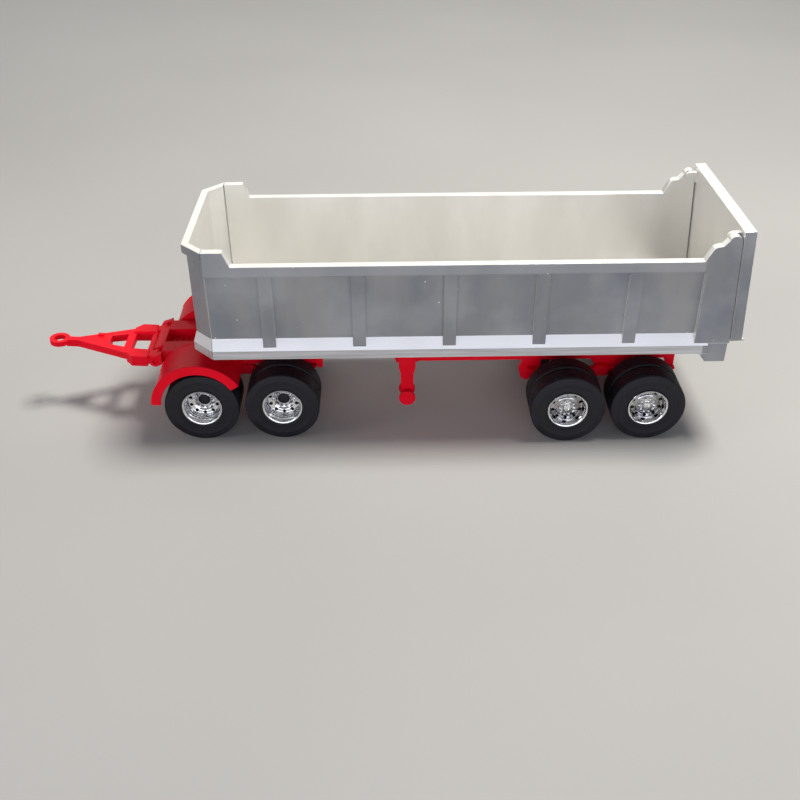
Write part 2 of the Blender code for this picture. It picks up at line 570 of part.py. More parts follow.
def drawbar():
    """The A-shaped drawbar: towing eye, neck, two openings, deep rear arms and hinge tongues."""
    x, z = BAR_X, BAR_Z
    back, arm_out, arm_in = -3.9, 18.8, 9.8
    half = [(-EYE_REACH + 4.0, NECK_HALF), (-48.5, NECK_HALF), (-17.0, 14.6), (back, arm_out - 0.4)]
    outline = [(x + dx, dy) for dx, dy in half] + [(x + dx, -dy) for dx, dy in reversed(half)]
    plate = prism(outline, "Z", z + PLATE_LOW, z + PLATE_TOP)
    lug = box((x + LUG_X[0], x + LUG_X[1]), LUG_Y, (z - 1.0, z + LUG_TOP))
    added = [rod([(z - 2.1, EYE_OUT), (z + 0.8, EYE_OUT)], "Z", (x - EYE_REACH, 0.0), 20), lug]
    for _, side in SIDES:
        arm = [(-18.0, arm_in - 0.4), (-18.0, 14.2), (-14.0, arm_out), (-5.0, arm_out),
               (-5.0, arm_in + 0.6), (-14.0, arm_in)]
        added.append(prism([(x + dx, side * dy) for dx, dy in arm], "Z", z + ARM_LOW, z + ARM_TOP))
        tongue = [*arc(x, z, 3.2, 90, -90, 8), (x - 5.5, z + PLATE_LOW), (x - 5.5, z + PLATE_TOP)]
        added.append(prism(tongue, "Y", side * (SLOT_IN + GAP), side * (SLOT_OUT - GAP)))
    front_opening = [(x - 29.8, -4.7), (x - 20.6, -7.2), (x - 20.6, 7.2), (x - 29.8, 4.7)]
    back_opening = [(x - 16.2, 1.0 - arm_in), (x - 6.4, 0.6 - arm_in), (x - 6.4, arm_in - 0.6),
                    (x - 16.2, arm_in - 1.0)]
    over, under = z + 5.0, z - 5.0
    pin = BAR_PIN + GAP
    removed = [
        rod([(under, EYE_HOLE), (over, EYE_HOLE)], "Z", (x - EYE_REACH, 0.0), 16),
        rod([(-20.0, pin), (20.0, pin)], "Y", (x, z), 10),
        prism(front_opening, "Z", under, over),
        prism(back_opening, "Z", under, over),
    ]
    return cut(join(plate, *added), *removed)


def make_dolly(trailer):
    turn = (TURN_X, 0.0, 0.0)
    trailer.add("dolly_frame", dolly_frame(), "red", turn)
    bearing = [(16.0, DECK_TOP + GAP), (16.0, NECK_LOW - 5.4), (9.0, NECK_LOW - 5.4),
               (9.0, DECK_TOP + GAP)]
    trailer.add("turntable_ring", ring(bearing, "Z", (TURN_X, 0.0)), "red", turn)
    for name, side in SIDES:
        trailer.add(f"fender_{name}", fender(side, *FENDER_ARC[name]), "red", turn)
        trailer.add(f"dolly_spring_{name}", spring(DOLLY_AXLES, 18.0, side, 14.0, 17.6), "red", turn)
    for number, (x, face) in enumerate(zip(DOLLY_AXLES, DOLLY_FACES), 1):
        trailer.add(f"dolly_axle_{number}", axle_bar(x, face, DOLLY_DISH), "red", (x, 0.0, TYRE_R))
    hinge = (BAR_X, 0.0, BAR_Z)
    end = HINGE_HALF - GAP
    pin = rod([(-end, BAR_PIN), (end, BAR_PIN)], "Y", (BAR_X, BAR_Z), 10)
    trailer.add("drawbar_pin", pin, "red", hinge)
    trailer.add("drawbar", drawbar(), "red", hinge, BAR_RISE)


# ---------------------------------------------------------------- wheels

def tyre(x, inner, outer):
    """One tyre, from its inner to its outer face."""
    wide = outer - inner
    section = [(radius, inner + wide * share) for radius, share in TYRE_WALL]
    section += [(radius, outer - wide * share) for radius, share in reversed(TYRE_WALL)]
    return ring(section, "Y", (x, TYRE_R))


def rim(x, side, face, dish):
    """A dual rim: one long barrel, a disc set in by the dish depth, and a hub behind it."""
    end, start = face - 0.3, face - DUAL_WIDE + 0.6
    disc, well, hub = end - dish, RIM_R - 1.0, 3.2
    section = [(RIM_BORE, disc), (well, disc), (well, end), (RIM_R, end), (RIM_R, start),
               (well, start), (well, disc - 1.5), (hub, disc - 1.5), (hub, start + 3.0),
               (RIM_BORE, start + 3.0)]
    return ring([(r, side * at) for r, at in section], "Y", (x, TYRE_R), 16)


def make_wheels(trailer):
    for group, axles, faces, dish in (("dolly", DOLLY_AXLES, DOLLY_FACES, DOLLY_DISH),
                                      ("rear", REAR_AXLES, REAR_FACES, REAR_DISH)):
        for number, (x, face) in enumerate(zip(axles, faces), 1):
            for name, side in SIDES:
                wheel, hub = f"{group}_{number}_{name}", (x, 0.0, TYRE_R)
                inner = face - DUAL_WIDE
                trailer.add(f"rim_{wheel}", rim(x, side, face, dish), "chrome", hub)
                trailer.add(f"tyre_outer_{wheel}", tyre(x, side * (face - TYRE_WIDE), side * face),
                            "rubber", hub)
                trailer.add(f"tyre_inner_{wheel}", tyre(x, side * inner, side * (inner + TYRE_WIDE)),
                            "rubber", hub)


def overall_middle():
    """X of the middle of the trailer's length, from the eye's tip to the gate's lower edge."""
    tip = BAR_X - (EYE_REACH + EYE_OUT) * math.cos(BAR_RISE) - 2.1 * math.sin(BAR_RISE)
    back, _ = gate_point(GATE_OUT + GATE_FOOT, GATE_LOW)
    return (tip + back) / 2


def main():
    for old in list(bpy.data.objects):
        bpy.data.objects.remove(old)
    trailer = Trailer(-overall_middle())
    make_bed(trailer)
    make_frame(trailer)
    make_hoist(trailer)
    make_dolly(trailer)
    make_wheels(trailer)


main()
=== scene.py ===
"""How the dump trailer looks: silver and red moulded plastic, chrome rims and ribbed tyres.

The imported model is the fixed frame. Tyres, rims and fenders get finer meshes that stand in for
their solids. Every other solid gets a copy with softened edges. Outlines are drawn in millimetres.
Places, paints, lights and the camera are in metres, and named angles are in degrees.
"""

import json
import math

import bmesh
import bpy
from mathutils import Matrix, Vector


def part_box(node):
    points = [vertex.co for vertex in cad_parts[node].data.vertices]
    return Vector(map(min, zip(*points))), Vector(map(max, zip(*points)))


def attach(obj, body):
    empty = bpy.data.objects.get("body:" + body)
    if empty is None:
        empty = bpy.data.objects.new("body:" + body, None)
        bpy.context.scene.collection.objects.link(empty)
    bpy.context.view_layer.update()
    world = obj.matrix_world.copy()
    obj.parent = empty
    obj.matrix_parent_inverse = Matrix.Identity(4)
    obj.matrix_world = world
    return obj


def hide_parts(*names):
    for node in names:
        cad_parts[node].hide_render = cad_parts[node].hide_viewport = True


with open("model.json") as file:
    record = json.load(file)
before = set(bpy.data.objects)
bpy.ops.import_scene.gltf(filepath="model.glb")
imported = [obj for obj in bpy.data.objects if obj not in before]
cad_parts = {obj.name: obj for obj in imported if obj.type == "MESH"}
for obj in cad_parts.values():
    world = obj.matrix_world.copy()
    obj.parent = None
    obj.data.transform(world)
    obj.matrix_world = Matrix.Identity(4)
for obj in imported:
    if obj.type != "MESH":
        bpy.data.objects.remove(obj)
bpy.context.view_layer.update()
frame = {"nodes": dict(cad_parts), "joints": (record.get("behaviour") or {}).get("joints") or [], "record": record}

MM = 0.001
SIDES = (("left", -1), ("right", 1))
JOINTS = {joint["name"]: joint for joint in frame["joints"]}
BODIES = frame["record"]["behaviour"]["bodies"]
NODE_BODY = {node: body for body, nodes in BODIES.items() for node in nodes}
NODE_SLOT = {part["node"]: part["material_slot"] for part in frame["record"]["subparts"]}
BED_LOW, BED_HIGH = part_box("bed_side_left")
BED_MIDDLE = (BED_LOW.x + BED_HIGH.x) / 2

# Where the silver paint changes: streaks on the bottom rails, up to a height and back to an end,
# and a band of painted light, paler along the top of the sides, from a height up and back to an end
RAIL_TOP, RAIL_END = BED_LOW.z + 0.0051, BED_HIGH.x - 0.014
BAND_FOOT, BAND_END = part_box("bed_bulkhead")[1].z - 0.0135, BED_HIGH.x - 0.020
PAINT_EDGE = 0.0003

# Colours of the paints, a pair for each one that is mottled, and how much of the band's shows
SILVER_OUTSIDE = (0.24, 0.26, 0.30), (0.335, 0.333, 0.335)
SILVER_CLOUD = (0.45, 0.46, 0.49)
# Band: painted light, paler along the top of the sides
SILVER_BAND_LIT, BAND_SHARE = (0.46, 0.465, 0.50), 0.5
SILVER_RAIL = (0.47, 0.47, 0.49), (0.66, 0.66, 0.68)
# Sill: painted light, paler where the surface leans up towards the light
SILVER_SILL_LIT = (0.88, 0.875, 0.885)
# Inside: painted light, a paler copy of the silver where the bed's inside and tops are lit
SILVER_INSIDE_LIT = (0.84, 0.83, 0.80), (0.92, 0.91, 0.88)
SILVER_SPECK = (0.85, 0.84, 0.82)
RED = (0.80, 0.003, 0.016), (0.88, 0.005, 0.024)
CHROME_BRIGHT = (0.84, 0.85, 0.87), (0.92, 0.92, 0.92)
# Darker chrome: painted shade on the rims' recessed discs
CHROME_SHADED = (0.24, 0.24, 0.25), (0.66, 0.66, 0.67)
RUBBER = (0.004, 0.004, 0.007), (0.011, 0.011, 0.017)
FLOOR = (0.455, 0.45, 0.44), (0.48, 0.475, 0.465)

# What counts as the bed's inside, which is given painted light as a paler silver: how much a normal
# that points to its middle line adds for each metre from that line, and how much an upward normal adds
INWARD_SHARE, UPWARD_SHARE = 30.0, 0.9

# A dual wheel, from its inner tyre's inner face to its outer tyre's outer face
DUAL_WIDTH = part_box("tyre_outer_rear_1_right")[1].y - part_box("tyre_inner_rear_1_right")[0].y

# Where a rim gets painted shade, darker chrome on its recessed disc: between two radii about its
# axle, and out to a distance from the inner tyre's inner face
DOLLY_SHADE, DOLLY_SHADE_OUT = (0.0030, 0.0055), DUAL_WIDTH
REAR_SHADE, REAR_SHADE_OUT = (0.0020, 0.0093), DUAL_WIDTH - 0.0035

# Tyre: (radius, share of the half width) up one sidewall, then the tread's four grooves, which
# step from side to side, and the notches in its shoulders, one in each repeat
SIDEWALL = [(11.35, 0.78), (11.6, 0.86), (12.3, 0.90), (12.7, 0.90), (12.85, 0.94), (13.3, 0.94),
            (13.5, 0.93), (15.2, 0.985), (16.9, 0.985), (17.1, 1.0), (17.6, 1.0), (17.8, 0.98),
            (19.4, 0.98), (19.9, 0.96), (20.4, 0.93), (20.8, 0.89), (20.96, 0.86)]
TREAD_RADIUS, TREAD_HALF = 21.0, 4.6
GROOVES, GROOVE_WIDE, GROOVE_DEEP, GROOVE_ZIG = (2.6, 0.87, -0.87, -2.6), 0.6, 0.6, 0.15
GROOVE_TOP, GROOVE_FOOT = 0.5, 0.4
TYRE_SEGMENTS, TREAD_REPEAT, NOTCH = 96, 4, 0.35

# Rim: (radius, distance out from the outer tyre's outer face), but the two backs' distances are
# from the inner tyre's inner face
FLANGE = [(10.95, -1.5), (11.25, -1.2), (11.34, -0.8), (11.24, -0.45), (11.05, -0.3), (10.7, -0.4),
          (10.3, -0.58), (10.12, -0.8), (10.05, -1.3)]
RIM_BACK = [(9.4, 8.0), (10.2, 2.6), (10.5, 1.6), (10.6, 0.8), (11.1, 0.7), (11.3, 1.1), (11.2, 1.7),
            (10.95, 1.9)]
HUB_BACK = [(1.8, 5.0), (3.6, 5.0), (3.8, 5.3)]
DOLLY_FRONT = [(10.1, -2.4), (9.7, -3.0), (9.45, -3.6), (9.4, -4.5), (9.2, -4.8), (9.35, -5.2),
               (9.3, -6.0), (9.1, -6.3), (9.2, -6.8), (9.0, -7.5), (8.7, -7.9), (8.3, -8.1),
               (7.0, -8.15), (6.5, -8.3), (6.1, -8.75), (4.6, -9.3), (3.4, -9.6), (3.1, -10.0),
               (2.95, -11.1), (0.0, -11.3)]
DOLLY_INSIDE = [(0.0, -11.8), (1.8, -11.8)]
DOLLY_WEB = [(3.8, -10.9), (8.2, -9.9), (8.7, -10.3), (8.9, -12.5)]
REAR_FRONT = [(9.95, -2.2), (9.7, -2.5), (9.65, -3.0), (9.6, -3.9), (9.3, -4.8), (8.9, -5.3),
              (8.3, -5.5), (7.6, -5.3), (6.9, -4.8), (6.3, -4.2), (5.7, -3.9), (2.5, -3.75),
              (2.2, -3.6), (2.05, -2.8), (1.8, -2.5), (1.0, -2.4), (0.8, -2.65), (0.0, -2.65)]
REAR_INSIDE = [(0.0, -6.9), (1.8, -6.9)]
REAR_WEB = [(3.8, -6.1), (8.4, -6.5), (9.1, -6.9), (9.3, -10.5)]
RIM_SEGMENTS = 96

# Hand holes: (radius of their circle, radius of a hole), and how far a drill reaches in and out
DOLLY_HOLES, REAR_HOLES = (7.65, 1.05), (8.1, 1.0)
HOLE_COUNT, HOLE_PHASE, HOLE_SEGMENTS = 10, 0.5, 24
DRILL_IN, DRILL_OUT = -14.0, 5.0

# Wheel nuts: (radius of their circle, distance out), and the outlines of a washer and its nut
DOLLY_NUTS, REAR_NUTS = (4.8, -9.15), (4.1, -3.8)
WASHER, WASHER_SEGMENTS = [(0.0, -0.4), (1.15, -0.4), (1.15, 0.12), (0.0, 0.2)], 20
NUT = [(0.0, 0.0), (1.0, 0.0), (0.9, 0.7), (0.7, 1.15), (0.35, 1.4), (0.0, 1.45)]
NUT_COUNT, NUT_SIDES = 10, 6

# Dark disc of painted shade at the bottom of a dolly hub: its outline, and how deep in the wheel its face is
HUB_SHADE, HUB_SHADE_SEGMENTS = [(0.0, -1.4), (2.85, -1.4), (2.85, -0.2), (2.5, 0.0), (0.0, 0.0)], 32
HUB_SHADE_DEPTH = 9.4

# Dark disc of painted shade behind a rim's hand holes: gap behind the rim's disc, depth, gaps to
# the hub and to the barrel, and chamfer
SHADE_DISC_GAP, SHADE_DISC_DEPTH, SHADE_DISC_HUB_GAP, SHADE_DISC_BARREL_GAP, SHADE_DISC_CHAMFER = 1.2, 2.0, 0.3, 0.4, 0.4
SHADE_DISC_SEGMENTS = 64

# Fender: thickness, depth of its lips, their thickness, how far the bead round them stands out and
# the bead's share of their thickness, then its outer radius, and its first and last angle
FENDER_SKIN, FENDER_LIP, FENDER_EDGE, FENDER_BEAD, BEAD_SHARE = 1.6, 5.2, 1.4, 0.35, 0.8
FENDER_RADIUS, FENDER_STEPS = 26.7, 72
FENDER_ARC = {"left": (31.0, 175.0), "right": (16.0, 149.0)}

# Rounded corners of an outline: radius, the most that one takes of a side, and steps
CORNER_RADIUS, CORNER_SHARE, CORNER_STEPS = 0.35, 0.45, 4

# Angle over which an edge is sharp: on a drawn mesh, a fender, a silver solid and any other solid
MESH_CREASE, FENDER_CREASE, SILVER_CREASE, SOLID_CREASE = 32.0, 40.0, 12.0, 28.0

# Softened solids: width and segments of an edge's rounding, and how many metres apart two points
# and how many degrees apart two faces may be that first become one
EDGE_WIDTH, EDGE_SEGMENTS, SAME_PLACE, SAME_PLANE = 0.3, 2, 1e-6, 1.0

# Stage: the floor's size and how far under the tyres it lies, and the dim sky
FLOOR_SIZE, FLOOR_DROP = 8.0, 0.0002
SKY_COLOUR, SKY_STRENGTH = (0.78, 0.84, 1.0), 0.12

# Lights: name, place, target, size, power and colour
LIGHTS = (
    ("key", (0.42, 0.10, 1.30), (0.0, 0.0, 0.05), (0.34, 0.34), 19.0, (1.0, 0.97, 0.91)),
    ("back_softbox", (0.0, 1.35, 0.72), (0.0, 0.0, 0.10), (2.6, 0.9), 9.0, (1.0, 0.97, 0.90)),
    ("front_softbox", (0.0, -1.5, 0.34), (0.0, 0.0, 0.10), (2.6, 0.6), 12.0, (0.88, 0.91, 1.0)),
    ("side_softbox", (-1.2, -0.35, 0.5), (-0.10, 0.0, 0.05), (0.5, 0.5), 3.0, (1.0, 0.93, 0.88)),
)

# Camera: place, turn, and its sensor's width and lens in millimetres
CAMERA_PLACE = (0.00420, -0.50967, 0.33604)
CAMERA_YAW, CAMERA_PITCH, CAMERA_ROLL = 0.695, 33.80, -0.388
CAMERA_SENSOR, CAMERA_LENS = 36.0, 44.61


# ---------------------------------------------------------------- shader nodes

def node(tree, kind, **values):
    """Add a shader node and set its sockets or properties by name."""
    made = tree.nodes.new(kind)
    for name, value in values.items():
        if name in made.inputs:
            made.inputs[name].default_value = value
        else:
            setattr(made, name, value)
    return made


def noise(tree, place, scale, detail, stretch=(1.0, 1.0, 1.0)):
    """A noise in the object's own metres, stretched along its axes."""
    mapping = node(tree, "ShaderNodeMapping", Scale=stretch)
    tree.links.new(place, mapping.inputs["Vector"])
    made = node(tree, "ShaderNodeTexNoise", Scale=scale, Detail=detail)
    tree.links.new(mapping.outputs["Vector"], made.inputs["Vector"])
    return made.outputs["Fac"]


def spread(tree, source, low, high, start=0.35, stop=0.65):
    """Low up to a start, high from a stop on, and a ramp in between."""
    made = node(tree, "ShaderNodeMapRange")
    for name, value in (("From Min", start), ("From Max", stop), ("To Min", low), ("To Max", high)):
        made.inputs[name].default_value = value
    tree.links.new(source, made.inputs["Value"])
    return made.outputs["Result"]


def combine(tree, operation, first, second):
    """Two values worked into one."""
    made = node(tree, "ShaderNodeMath", operation=operation)
    tree.links.new(first, made.inputs[0])
    tree.links.new(second, made.inputs[1])
    return made.outputs[0]


def blend_colours(tree, factor, first, second):
    """The first colour at 0, the second at 1. Each is a tuple or another node's output."""
    made = node(tree, "ShaderNodeMix", data_type="RGBA")
    tree.links.new(factor, made.inputs["Factor"])
    for socket, colour in ((6, first), (7, second)):
        if isinstance(colour, tuple):
            made.inputs[socket].default_value = (*colour, 1.0)
        else:
            tree.links.new(colour, made.inputs[socket])
    return made.outputs[2]


def mottled(tree, source, colours):
    """A pair of colours mixed by a noise."""
    return blend_colours(tree, spread(tree, source, 0.0, 1.0), *colours)


def bump(tree, source, height, before=None):
    """A normal that follows a noise of some height, on top of the one before it."""
    made = node(tree, "ShaderNodeBump", Distance=height, Strength=1.0)
    tree.links.new(source, made.inputs["Height"])
    if before is not None:
        tree.links.new(before, made.inputs["Normal"])
    return made.outputs["Normal"]


def axis_of(tree, vector, axis):
    """One of a vector's three numbers."""
    parts = node(tree, "ShaderNodeSeparateXYZ")
    tree.links.new(vector, parts.inputs[0])
    return parts.outputs[axis]


def below(tree, place, axis, limit, soft=PAINT_EDGE):
    """1 before a place along an axis of the model, 0 past it."""
    return spread(tree, axis_of(tree, place, axis), 1.0, 0.0, limit - soft, limit + soft)


# ---------------------------------------------------------------- paints

def new_paint(name):
    """A material with its shader, and the place on the object that its noises start from."""
    paint = bpy.data.materials.new(name)
    paint.use_nodes = True
    tree = paint.node_tree
    shader = tree.nodes["Principled BSDF"]
    place = node(tree, "ShaderNodeTexCoord").outputs["Object"]
    return paint, tree, shader, place


def painted_inside_light(tree, place):
    """Where the bed's inside gets painted light: 1 on its inner walls, floor and top edges and 0 outside, from a
    point's place and normal.
    """
    toward = node(tree, "ShaderNodeVectorMath", operation="MULTIPLY_ADD")
    toward.inputs[1].default_value = (-INWARD_SHARE, -INWARD_SHARE, 0.0)
    toward.inputs[2].default_value = (INWARD_SHARE * BED_MIDDLE, 0.0, UPWARD_SHARE)
    tree.links.new(place, toward.inputs[0])
    dot = node(tree, "ShaderNodeVectorMath", operation="DOT_PRODUCT")
    tree.links.new(toward.outputs["Vector"], dot.inputs[0])
    tree.links.new(node(tree, "ShaderNodeTexCoord").outputs["Normal"], dot.inputs[1])
    return spread(tree, dot.outputs["Value"], 0.0, 1.0, 0.2, 0.6)


def painted_upward_light(tree):
    """1 on a surface that leans upwards, such as the sill along the bed's foot, where painted light makes the
    silver paler.
    """
    normal = node(tree, "ShaderNodeTexCoord").outputs["Normal"]
    return spread(tree, axis_of(tree, normal, "Z"), 0.0, 1.0, 0.15, 0.25)


def painted_light_band(tree, place):
    """How much of the band's painted light shows: none below it, ahead of the bed's side or past its end."""
    start, stop = BAND_FOOT - PAINT_EDGE, BAND_FOOT + PAINT_EDGE
    band = spread(tree, axis_of(tree, place, "Z"), 0.0, BAND_SHARE, start, stop)
    band = combine(tree, "MULTIPLY", band, below(tree, place, "X", BAND_END))
    return combine(tree, "SUBTRACT", band, below(tree, place, "X", BED_LOW.x))


def specks(tree, place):
    """Small pale dots, scattered."""
    made = node(tree, "ShaderNodeTexVoronoi", Scale=110.0)
    tree.links.new(place, made.inputs["Vector"])
    return spread(tree, made.outputs["Distance"], 0.9, 0.0, 0.03, 0.06)


def silver_plastic():
    """Satin silver plastic: cloudy grey outside, with painted light as a paler band along the top and
    paler still inside and on the sill, and drawn streaks on the bottom rails."""
    paint, tree, shader, place = new_paint("silver_plastic")
    flow = noise(tree, place, 42.0, 4.0, (1.0, 1.0, 0.35))
    cloud = noise(tree, place, 26.0, 4.0)
    grain = noise(tree, place, 2600.0, 2.0)
    streak = noise(tree, place, 700.0, 3.0, (0.03, 1.0, 1.0))
    rail = combine(tree, "MULTIPLY", below(tree, place, "Z", RAIL_TOP), below(tree, place, "X", RAIL_END))
    base = mottled(tree, flow, SILVER_OUTSIDE)
    for share, colour in ((spread(tree, cloud, 0.0, 0.6, 0.45, 0.70), SILVER_CLOUD),
                          (painted_light_band(tree, place), SILVER_BAND_LIT),
                          (rail, mottled(tree, streak, SILVER_RAIL)),
                          (painted_upward_light(tree), SILVER_SILL_LIT),
                          (painted_inside_light(tree, place), mottled(tree, flow, SILVER_INSIDE_LIT)),
                          (specks(tree, place), SILVER_SPECK)):
        base = blend_colours(tree, share, base, colour)
    tree.links.new(base, shader.inputs["Base Color"])
    tree.links.new(spread(tree, flow, 0.30, 0.42), shader.inputs["Roughness"])
    shader.inputs["Metallic"].default_value = 0.6
    normal = bump(tree, grain, 0.000012)
    normal = bump(tree, combine(tree, "MULTIPLY", streak, rail), 0.00003, normal)
    tree.links.new(bump(tree, flow, 0.00012, normal), shader.inputs["Normal"])
    return paint


def red_plastic():
    """Satin red plastic with a faint ripple and slightly duller patches."""
    paint, tree, shader, place = new_paint("red_plastic")
    cloud = noise(tree, place, 60.0, 3.0)
    grain = noise(tree, place, 900.0, 2.0)
    tree.links.new(mottled(tree, cloud, RED), shader.inputs["Base Color"])
    tree.links.new(spread(tree, cloud, 0.34, 0.46), shader.inputs["Roughness"])
    shader.inputs["Specular IOR Level"].default_value = 0.07
    shader.inputs["Subsurface Weight"].default_value = 0.05
    shader.inputs["Subsurface Radius"].default_value = (0.0012, 0.0003, 0.0003)
    tree.links.new(bump(tree, grain, 0.00001), shader.inputs["Normal"])
    return paint


def chrome(name, radii, out):
    """Bright plating, with painted shade that makes it darker between two radii about the wheel's axle and out to
    a distance.
    """
    paint, tree, shader, place = new_paint(name)
    cloud = noise(tree, place, 240.0, 2.0)
    flat = node(tree, "ShaderNodeVectorMath", operation="MULTIPLY")
    flat.inputs[1].default_value = (1.0, 0.0, 1.0)
    tree.links.new(place, flat.inputs[0])
    length = node(tree, "ShaderNodeVectorMath", operation="LENGTH")
    tree.links.new(flat.outputs["Vector"], length.inputs[0])
    radius = length.outputs["Value"]
    start, stop = radii
    # The ring of painted shade on the rim's recessed disc
    ring = combine(tree, "MULTIPLY", spread(tree, radius, 0.0, 1.0, start, start + 0.0005),
                   spread(tree, radius, 1.0, 0.0, stop, stop + 0.0004))
    ring = combine(tree, "MULTIPLY", ring, below(tree, place, "Y", out, 0.0001))
    base = blend_colours(tree, ring, mottled(tree, cloud, CHROME_BRIGHT), mottled(tree, cloud, CHROME_SHADED))
    tree.links.new(base, shader.inputs["Base Color"])
    tree.links.new(spread(tree, cloud, 0.04, 0.09), shader.inputs["Roughness"])
    shader.inputs["Metallic"].default_value = 1.0
    tree.links.new(bump(tree, cloud, 0.00003), shader.inputs["Normal"])
    return paint


def tyre_rubber():
    """Matte black vinyl with a mottled surface."""
    paint, tree, shader, place = new_paint("tyre_rubber")
    cloud = noise(tree, place, 130.0, 4.0)
    grain = noise(tree, place, 1800.0, 3.0)
    tree.links.new(mottled(tree, cloud, RUBBER), shader.inputs["Base Color"])
    tree.links.new(spread(tree, cloud, 0.50, 0.68), shader.inputs["Roughness"])
    shader.inputs["Specular IOR Level"].default_value = 0.35
    tree.links.new(bump(tree, grain, 0.00003), shader.inputs["Normal"])
    return paint


def floor_paint():
    """A plain matte floor, very faintly mottled."""
    paint, tree, shader, place = new_paint("studio_floor")
    tree.links.new(mottled(tree, noise(tree, place, 3.0, 2.0), FLOOR), shader.inputs["Base Color"])
    shader.inputs["Roughness"].default_value = 0.85
    return paint


PAINTS = {
    "silver_plastic": silver_plastic(),
    "red_plastic": red_plastic(),
    "chrome": chrome("chrome", DOLLY_SHADE, DOLLY_SHADE_OUT),
    "chrome_rear": chrome("chrome_rear", REAR_SHADE, REAR_SHADE_OUT),
    "tyre_rubber": tyre_rubber(),
}


# ---------------------------------------------------------------- meshes

def to_mesh(name, solid, slot, sharp=MESH_CREASE):
    """Turn a solid drawn in millimetres into a smooth mesh with its paint."""
    bmesh.ops.scale(solid, vec=(MM, MM, MM), verts=solid.verts)
    mesh = bpy.data.meshes.new(name)
    solid.to_mesh(mesh)
    solid.free()
    mesh.shade_smooth()
    mesh.set_sharp_from_angle(angle=math.radians(sharp))
    mesh.materials.append(PAINTS[slot])
    return mesh


def extra_piece(name, mesh, at, turned_round, body):
    """Put a piece where it belongs, riding on its body."""
    made = bpy.data.objects.new(name, mesh)
    bpy.context.scene.collection.objects.link(made)
    made.location = at
    made.rotation_euler = (0.0, 0.0, math.pi if turned_round else 0.0)
    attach(made, body)
    return made


def place_piece(name, mesh, at, turned_round, stands_for):
    """Put a piece in the place of the solid that it stands for."""
    made = extra_piece(name, mesh, at, turned_round, NODE_BODY[stands_for])
    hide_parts(stands_for)
    return made


def skin(rings, ends_meet=False):
    """A closed surface over a row of equal rings of points."""
    bm = bmesh.new()
    loops = [[bm.verts.new(point) for point in ring] for ring in rings]
    pairs = list(zip(loops, loops[1:]))
    if ends_meet:
        pairs.append((loops[-1], loops[0]))
    else:
        bm.faces.new(loops[0])
        bm.faces.new(loops[-1])
    for first, second in pairs:
        for i in range(len(first)):
            bm.faces.new((first[i - 1], first[i], second[i], second[i - 1]))
    bmesh.ops.recalc_face_normals(bm, faces=bm.faces[:])
    return bm


def turned(profile, segments):
    """A solid turned about Y: a closed outline, or one with both ends on the axis."""
    bm = bmesh.new()
    columns = []
    for radius, across in profile:
        count = segments if radius > 0 else 1
        angles = [2 * math.pi * i / segments for i in range(count)]
        points = [(radius * math.cos(angle), across, radius * math.sin(angle)) for angle in angles]
        columns.append([bm.verts.new(point) for point in points])
    pairs = list(zip(columns, columns[1:]))
    if profile[0][0] > 0:
        pairs.append((columns[-1], columns[0]))
    for first, second in pairs:
        for i in range(segments):
            corners = [first[i % len(first)], first[(i + 1) % segments % len(first)],
                       second[(i + 1) % segments % len(second)], second[i % len(second)]]
            bm.faces.new(list(dict.fromkeys(corners)))
    bmesh.ops.recalc_face_normals(bm, faces=bm.faces[:])
    return bm


def gather(solids):
    """Put several separate solids into one mesh."""
    together = bmesh.new()
    for solid in solids:
        mesh = bpy.data.meshes.new("working")
        solid.to_mesh(mesh)
        solid.free()
        together.from_mesh(mesh)
        bpy.data.meshes.remove(mesh)
    return together


def cut(solid, tool):
    """Take one solid out of another."""
    holders = []
    for bm in (solid, tool):
        mesh = bpy.data.meshes.new("working")
        bm.to_mesh(mesh)
        bm.free()
        holders.append(bpy.data.objects.new("working", mesh))
        bpy.context.scene.collection.objects.link(holders[-1])
    modifier = holders[0].modifiers.new("cut", "BOOLEAN")
    modifier.operation = "DIFFERENCE"
    modifier.object = holders[1]
    evaluated = holders[0].evaluated_get(bpy.context.evaluated_depsgraph_get())
    result = bmesh.new()
    result.from_mesh(evaluated.to_mesh())
    evaluated.to_mesh_clear()
    for holder in holders:
        bpy.data.meshes.remove(holder.data)  # its object goes with it
    return result


def around(make, count, radius, phase=0.0):
    """Copies of a small solid in a circle about Y, the first one a share of a step on from +X."""
    solids = []
    for i in range(count):
        solid = make()
        turn = Matrix.Rotation(2 * math.pi * (i + phase) / count, 4, "Y")
        move = turn @ Matrix.Translation((radius, 0.0, 0.0))
        bmesh.ops.transform(solid, matrix=move, verts=solid.verts)
        solids.append(solid)
    return solids


# ---------------------------------------------------------------- wheels

def tread_points(zig, notched):
    """The tread across, from the right shoulder to the left: (radius, across)."""
    edge = TREAD_RADIUS - (NOTCH if notched else 0.0)
    bottom = TREAD_RADIUS - GROOVE_DEEP
    points = [(edge, TREAD_HALF)]
    for groove in GROOVES:
        for share, radius in ((GROOVE_TOP, TREAD_RADIUS), (GROOVE_FOOT, bottom),
                              (-GROOVE_FOOT, bottom), (-GROOVE_TOP, TREAD_RADIUS)):
            points.append((radius, groove + share * GROOVE_WIDE + zig))
    return points + [(edge, -TREAD_HALF)]


def tyre_mesh(width):
    """A tyre with stepped sidewalls, zigzag grooves and notched shoulders."""
    half = width / 2
    wall = [(r, share * half) for r, share in SIDEWALL]
    rings = []
    for i in range(TYRE_SEGMENTS):
        angle = 2 * math.pi * i / TYRE_SEGMENTS
        cos, sin = math.cos(angle), math.sin(angle)
        step = i % TREAD_REPEAT
        tread = tread_points(GROOVE_ZIG if step < TREAD_REPEAT / 2 else -GROOVE_ZIG, step == 0)
        profile = wall + tread + [(r, -across) for r, across in reversed(wall)]
        rings.append([(r * cos, across, r * sin) for r, across in profile])
    return to_mesh("tyre", skin(rings, ends_meet=True), "tyre_rubber")


def wheel_nut():
    """A six-sided nut with a domed end over a round washer."""
    return gather([turned(WASHER, WASHER_SEGMENTS), turned(NUT, NUT_SIDES)])


